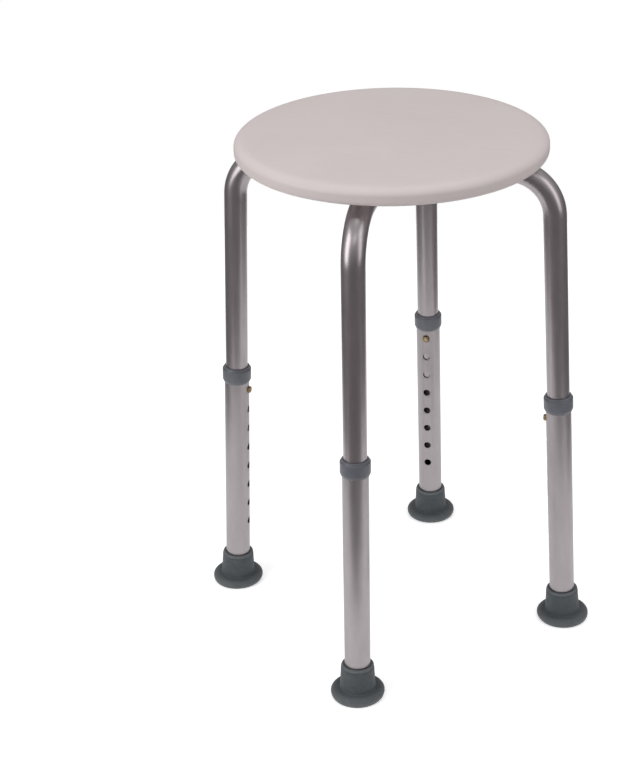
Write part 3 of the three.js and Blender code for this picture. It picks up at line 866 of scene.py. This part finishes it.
def foot_outline(angle):
    """A thick disc with rounded edges, and a slightly tapered sleeve with a slanted rim on it."""
    grip = lower_radius + GAP
    lower_width, lower_height = FLANGE_LOWER_EDGE
    upper_width, upper_height = FLANGE_UPPER_EDGE
    flange_height = lower_height + upper_height
    crease = sleeve_top - RIM_BEVEL[1]
    outline = [(0, TREAD_RECESS_DEPTH)]
    for i in range(TREAD_RINGS):
        middle = TREAD_RECESS_RADIUS * (i + 0.75) / TREAD_RINGS
        outline += [(middle - 0.0018, TREAD_RECESS_DEPTH), (middle - 0.0012, TREAD_RELIEF),
                    (middle + 0.0002, TREAD_RELIEF), (middle + 0.0008, TREAD_RECESS_DEPTH)]
    outline += [(TREAD_RECESS_RADIUS, TREAD_RECESS_DEPTH), (TREAD_RECESS_RADIUS, TREAD_EDGE),
                (TREAD_RECESS_RADIUS + TREAD_EDGE, 0)]
    outline += arc((flange_radius - lower_width, lower_height), FLANGE_LOWER_EDGE, -90, 0, 12)
    outline += arc((flange_radius - upper_width, lower_height), FLANGE_UPPER_EDGE, 4, 88, 16)
    outline += eased([(flange_radius - upper_width - 0.0006, flange_height),
                      (SLEEVE_BASE_RADIUS + 0.0012, flange_height - 0.0001),
                      (SLEEVE_BASE_RADIUS + 0.0003, flange_height + 0.0003),
                      (SLEEVE_BASE_RADIUS, flange_height + 0.0012),
                      (SLEEVE_BASE_RADIUS - 0.0002, flange_height + 0.0050)], 3)
    outline += eased([(SLEEVE_TOP_RADIUS + 0.0004, crease - 0.0080),
                      (SLEEVE_TOP_RADIUS + 0.0001, crease - 0.0014),
                      (SLEEVE_TOP_RADIUS - 0.0003, crease - 0.0004)], 3)
    outline += [(SLEEVE_TOP_RADIUS - 0.0006, crease - 0.0001),
                (SLEEVE_TOP_RADIUS - 0.0005, crease + 0.0003)]
    outline += eased([(SLEEVE_TOP_RADIUS - 0.0003, crease + 0.0007),
                      (SLEEVE_TOP_RADIUS - 0.0007, crease + 0.0016),
                      (SLEEVE_TOP_RADIUS - RIM_BEVEL[0], sleeve_top),
                      (lower_radius + 0.0008, sleeve_top - RIM_INLET * 0.5),
                      (lower_radius + CLOSE_FIT, sleeve_top - RIM_INLET)])
    outline += [(grip, sleeve_top - BORE_LEAD), (grip, FOOT_FLOOR), (0, FOOT_FLOOR)]
    return outline


def foot_piece():
    """The foot, with its sole tilted in the leg's frame so that it lies level on the floor."""
    piece = turned("foot", foot_outline, FOOT_SEGMENTS)
    for vertex in piece.data.vertices:
        fade = max(0, 1 - vertex.co.z / TILT_FADE)
        tilt = vertex.co.x * math.tan(splay) * min(1, fade * TILT_GAIN)
        vertex.co.z += SOLE_CLEARANCE * fade - tilt
    return piece


place_on_legs(foot_piece(), "foot", "leg", "foot_rubber")


# ---- Snap buttons ----

button_nose = -button_low.x
button_back = -button_high.x
flange_reach = button_high.y


def button_outline(angle):
    """Along the button's own axis, from its back to its nose."""
    flange_top = button_back + BUTTON_FLANGE_THICKNESS
    dimple = button_nose - NOSE_DIMPLE
    outline = [(0, button_back), (flange_reach - BUTTON_EDGE, button_back),
               (flange_reach, button_back + BUTTON_EDGE), (flange_reach, flange_top - BUTTON_EDGE),
               (flange_reach - BUTTON_EDGE, flange_top), (BUTTON_RADIUS, flange_top)]
    outline += arc((BUTTON_RADIUS - NOSE_EDGE, button_nose - NOSE_EDGE - 0.0001),
                   NOSE_EDGE, 0, 80, 7)
    outline += [(BUTTON_RADIUS * 0.56, button_nose - 0.0001),
                (BUTTON_RADIUS * 0.48, button_nose - 0.0004),
                (BUTTON_RADIUS * 0.36, dimple), (0, dimple)]
    return outline


button = turned("snap_button", button_outline, BUTTON_SEGMENTS)
button_turn = Matrix.Translation((0, 0, top_hole)) @ Matrix.Rotation(-math.pi / 2, 4, "Y")
place_on_legs(button, "snap_button", "button", "button_brass", button_turn)


# ---- Fasteners ----


def hexagon(radius, angle):
    """A hexagon's reach at an angle, from its corner radius."""
    flat = radius * math.cos(math.pi / 6)
    return flat / math.cos((angle % (math.pi / 3)) - math.pi / 6)


def hex_top(radius, top, angle):
    """The chamfered top of a hexagon, which falls away towards its corners."""
    flat = radius * math.cos(math.pi / 6)
    reach = hexagon(radius, angle)
    return [(reach, top - HEX_CHAMFER - (reach - flat) * HEX_CHAMFER_SLOPE), (flat * HEX_FACE, top)]


bolt_low, bolt_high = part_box("centre_bolt")
nut_low, nut_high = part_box("centre_nut")
washer_low, washer_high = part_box("centre_washer")
head_radius = bolt_high.x


def bolt_outline(angle):
    """The bolt with its head up, threaded from its tip to the washer."""
    head_bottom = frame_height + upper_radius + GAP
    shank = [(0, bolt_low.z), (BOLT_RADIUS - BOLT_TIP, bolt_low.z),
             (BOLT_RADIUS, bolt_low.z + BOLT_TIP)]
    height = bolt_low.z + BOLT_PITCH
    while height < washer_low.z:
        shank += [(BOLT_RADIUS, height),
                  (BOLT_RADIUS - BOLT_THREAD_DEPTH, height + BOLT_PITCH / 2)]
        height += BOLT_PITCH
    shank += [(BOLT_RADIUS, height)]
    reach = hexagon(head_radius, angle)
    return [*shank, (BOLT_RADIUS, head_bottom), (reach - FINE_EDGE, head_bottom),
            (reach, head_bottom + FINE_EDGE), *hex_top(head_radius, bolt_high.z, angle),
            (0, bolt_high.z)]


def nut_outline(angle):
    bore = BOLT_RADIUS + GAP
    radius = nut_high.x
    reach = hexagon(radius, angle)
    flat = radius * math.cos(math.pi / 6)
    return [(bore + NUT_LEAD, nut_low.z), (flat * HEX_FACE, nut_low.z),
            (reach, nut_low.z + HEX_CHAMFER + (reach - flat) * HEX_CHAMFER_SLOPE),
            (reach, nut_high.z - FINE_EDGE), (reach - FINE_EDGE, nut_high.z),
            (bore, nut_high.z), (bore, nut_low.z + NUT_LEAD)]


def washer_outline(angle):
    inner, outer = BOLT_RADIUS + GAP, washer_high.x
    low, high, edge = washer_low.z, washer_high.z, FINE_EDGE
    return [(inner, low + edge), (inner + edge, low), (outer - edge, low), (outer, low + edge),
            (outer, high - edge), (outer - edge, high), (inner + edge, high), (inner, high - edge)]


bolt = turned("fine_centre_bolt", bolt_outline, HEX_SEGMENTS, HEX_SMOOTH_ANGLE)
place(bolt, "centre_bolt", "frame", "steel")
nut = turned("fine_centre_nut", nut_outline, HEX_SEGMENTS, HEX_SMOOTH_ANGLE)
place(nut, "centre_nut", "frame", "steel")
washer = turned("fine_centre_washer", washer_outline, WASHER_SEGMENTS)
place(washer, "centre_washer", "frame", "steel")

cup_low, cup_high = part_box(f"screw_cup_{FIRST}")
cup_radius = (cup_high.y - cup_low.y) / 2
screw_low, screw_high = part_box(f"seat_screw_{FIRST}")
screw_head_radius = (screw_high.y - screw_low.y) / 2


def cup_outline(angle):
    """A curved washer: flat below, hollowed above to the tube."""
    def saddle(radius):
        return frame_height - math.sqrt((upper_radius + GAP) ** 2 - (radius * math.sin(angle)) ** 2)
    bore = SCREW_RADIUS + GAP
    flat = cup_low.z
    inner_edge = cup_radius - 0.0003
    return [(bore, flat), (cup_radius - CUP_EDGE, flat), (cup_radius, flat + CUP_EDGE),
            (cup_radius, saddle(cup_radius) - FINE_EDGE), (inner_edge, saddle(inner_edge)),
            (cup_radius * 0.7, saddle(cup_radius * 0.7)), (bore, saddle(bore))]


def screw_outline(angle):
    """A pan head screw, head down."""
    bearing = screw_low.z + SCREW_HEAD_HEIGHT
    root = SCREW_RADIUS - SCREW_THREAD_DEPTH
    outline = [(0, screw_low.z)]
    outline += eased([(screw_head_radius * 0.45, screw_low.z + 0.0001),
                      (screw_head_radius * 0.78, screw_low.z + 0.0006),
                      (screw_head_radius * 0.97, screw_low.z + 0.0016),
                      (screw_head_radius, bearing - 0.0004)])
    outline += [(screw_head_radius - FINE_EDGE, bearing), (SCREW_RADIUS, bearing)]
    height = bearing + SCREW_PLAIN_LENGTH
    while height < screw_high.z - SCREW_POINT_LENGTH:
        outline += [(root, height), (root, height + SCREW_PITCH * 0.55),
                    (SCREW_RADIUS, height + SCREW_PITCH * 0.8)]
        height += SCREW_PITCH
    return outline + [(root, height), (0, screw_high.z)]


def seat_screw():
    """The screw, with a cross recess in its head."""
    piece = turned("seat_screw", screw_outline, SCREW_SEGMENTS)
    reach = screw_head_radius * RECESS_REACH
    arms = [block("arm", (-reach, -RECESS_HALF_WIDTH, screw_low.z - 0.001),
                  (reach, RECESS_HALF_WIDTH, screw_low.z + RECESS_DEPTH), 0, i * math.pi / 2)
            for i in range(2)]
    return combine(piece, arms, "DIFFERENCE")


def place_at_pads(piece, name, slot):
    """Puts the piece under the first pad and copies of it under the other three."""
    for i, side in enumerate(SIDES):
        copy = piece if side == FIRST else bpy.data.objects.new(name, piece.data)
        copy.name = f"fine_{name}_{side}"
        if side != FIRST:
            bpy.context.scene.collection.objects.link(copy)
        copy.matrix_world = (Matrix.Rotation(i * math.pi / 2, 4, "Z")
                             @ Matrix.Translation((PAD_RADIUS, 0, 0)))
        place(copy, f"{name}_{side}", "frame", slot)


place_at_pads(turned("screw_cup", cup_outline, CUP_SEGMENTS), "screw_cup", "collar_plastic")
place_at_pads(seat_screw(), "seat_screw", "steel")


# ---- CAD pieces whose shape stays: the foot washers and springs, inside the tubes ----

for side in SIDES:
    for name in (f"foot_washer_{side}", f"button_spring_{side}"):
        finished(frame["nodes"][name], "steel")


# ---- Floor, light and camera ----

FLOOR_SIDE = 0.62  # from the stool's axis to the board's edges
FLOOR_BACK = 1.2
FLOOR_FRONT = 0.47
FLOOR_THICKNESS = 0.004
FLOOR_EDGE = 0.001
FLOOR_GLOW = 0.40
CAMERA_AZIMUTH = math.radians(13.0)  # round the stool from straight in front
CAMERA_DISTANCE = 1.8714  # level distance from the stool's axis
CAMERA_HEIGHT = 1.2326
CAMERA_YAW = -0.0197  # radians off the stool's axis
CAMERA_PITCH = 0.4486  # downwards
CAMERA_ROLL = -0.0211
CAMERA_LENS = 86.30  # mm, for a sensor whose long side is CAMERA_SENSOR
CAMERA_SENSOR = 36
CAMERA_SHIFT = (-0.0558, -0.0470)  # the photograph's framing

DOME_LOW = (0.25, 0.238, 0.245)  # the room round and below the stool
DOME_HIGH = (0.75, 0.75, 0.75)  # overhead
DOME_START = 0.45  # where the dome starts to brighten: 0 straight down, 1 straight up
AREA_LIGHTS = (  # name, place, target, width and height, watts
    ("overhead", (0.2, 0.3, 2.4), (0, 0, 0.3), (1.7, 1.7), 8),
    ("left", (-1.25, -1.15, 1.0), (0, 0, 0.5), (1.1, 1.6), 17),
    ("right", (1.55, -0.55, 1.0), (0, 0, 0.5), (0.8, 1.6), 7),
    ("front", (0.7, -2.4, 2.6), (0, 0, 0.5), (2.0, 0.8), 5),
)


def stage_floor():
    """A white board under the stool. It glows a little, so it stays white where the stool shades
    it; the darker room beyond its edges is what the upper tubes mirror."""
    floor = block("floor", (-FLOOR_SIDE, -FLOOR_FRONT, -FLOOR_THICKNESS),
                  (FLOOR_SIDE, FLOOR_BACK, 0), FLOOR_EDGE, CAMERA_AZIMUTH)
    made = Finish("floor", (0.9, 0.9, 0.9), 0.9)
    made.roughness(made.spread(made.noise(made.coordinates(), 3), 0.85, 0.95))
    made.shader.inputs["Specular IOR Level"].default_value = 0.1
    made.shader.inputs["Emission Color"].default_value = (1, 1, 1, 1)
    made.shader.inputs["Emission Strength"].default_value = FLOOR_GLOW
    floor.data.materials.append(made.material)


def area_light(name, spot, target, size, power):
    light = bpy.data.lights.new(name, "AREA")
    light.shape = "RECTANGLE"
    light.size, light.size_y = size
    light.energy = power
    made = bpy.data.objects.new(name, light)
    made.location = spot
    made.rotation_euler = (Vector(target) - Vector(spot)).to_track_quat("-Z", "Y").to_euler()
    bpy.context.scene.collection.objects.link(made)


def studio_world():
    """A soft dome, brighter overhead than at the sides; the camera sees plain white."""
    world = bpy.data.worlds.new("studio")
    bpy.context.scene.world = world
    world.use_nodes = True
    nodes, links = world.node_tree.nodes, world.node_tree.links
    nodes.clear()
    direction = nodes.new("ShaderNodeTexCoord")
    apart = nodes.new("ShaderNodeSeparateXYZ")
    ramp = nodes.new("ShaderNodeValToRGB")
    low, high = ramp.color_ramp.elements
    low.position, low.color = DOME_START, (*DOME_LOW, 1)
    high.position, high.color = 1, (*DOME_HIGH, 1)
    half = nodes.new("ShaderNodeMapRange")
    half.inputs["From Min"].default_value = -1
    links.new(direction.outputs["Generated"], apart.inputs["Vector"])
    links.new(apart.outputs["Z"], half.inputs["Value"])
    links.new(half.outputs["Result"], ramp.inputs["Fac"])
    dome, white = nodes.new("ShaderNodeBackground"), nodes.new("ShaderNodeBackground")
    links.new(ramp.outputs["Color"], dome.inputs["Color"])
    white.inputs["Color"].default_value = (1, 1, 1, 1)
    path, mix, out = (nodes.new("ShaderNodeLightPath"), nodes.new("ShaderNodeMixShader"),
                      nodes.new("ShaderNodeOutputWorld"))
    links.new(path.outputs["Is Camera Ray"], mix.inputs["Fac"])
    links.new(dome.outputs["Background"], mix.inputs[1])
    links.new(white.outputs["Background"], mix.inputs[2])
    links.new(mix.outputs["Shader"], out.inputs["Surface"])


def studio_camera():
    turn = Matrix.Rotation(CAMERA_AZIMUTH, 3, "Z")
    ahead = turn @ Vector((math.sin(CAMERA_YAW) * math.cos(CAMERA_PITCH),
                           math.cos(CAMERA_YAW) * math.cos(CAMERA_PITCH), -math.sin(CAMERA_PITCH)))
    right = ahead.cross(Vector((0, 0, 1))).normalized()
    up = right.cross(ahead)
    rolled_right = right * math.cos(CAMERA_ROLL) + up * math.sin(CAMERA_ROLL)
    rolled_up = up * math.cos(CAMERA_ROLL) - right * math.sin(CAMERA_ROLL)
    data = bpy.data.cameras.new("camera")
    data.sensor_width = CAMERA_SENSOR
    data.lens = CAMERA_LENS
    data.shift_x, data.shift_y = CAMERA_SHIFT
    camera = bpy.data.objects.new("camera", data)
    camera.matrix_world = (
        Matrix.Translation(turn @ Vector((0, -CAMERA_DISTANCE, CAMERA_HEIGHT)))
        @ Matrix((rolled_right, rolled_up, -ahead)).transposed().to_4x4()
    )
    bpy.context.scene.collection.objects.link(camera)
    bpy.context.scene.camera = camera


stage_floor()
studio_world()
for light in AREA_LIGHTS:
    area_light(*light)
studio_camera()
bpy.context.scene.view_settings.view_transform = "Standard"
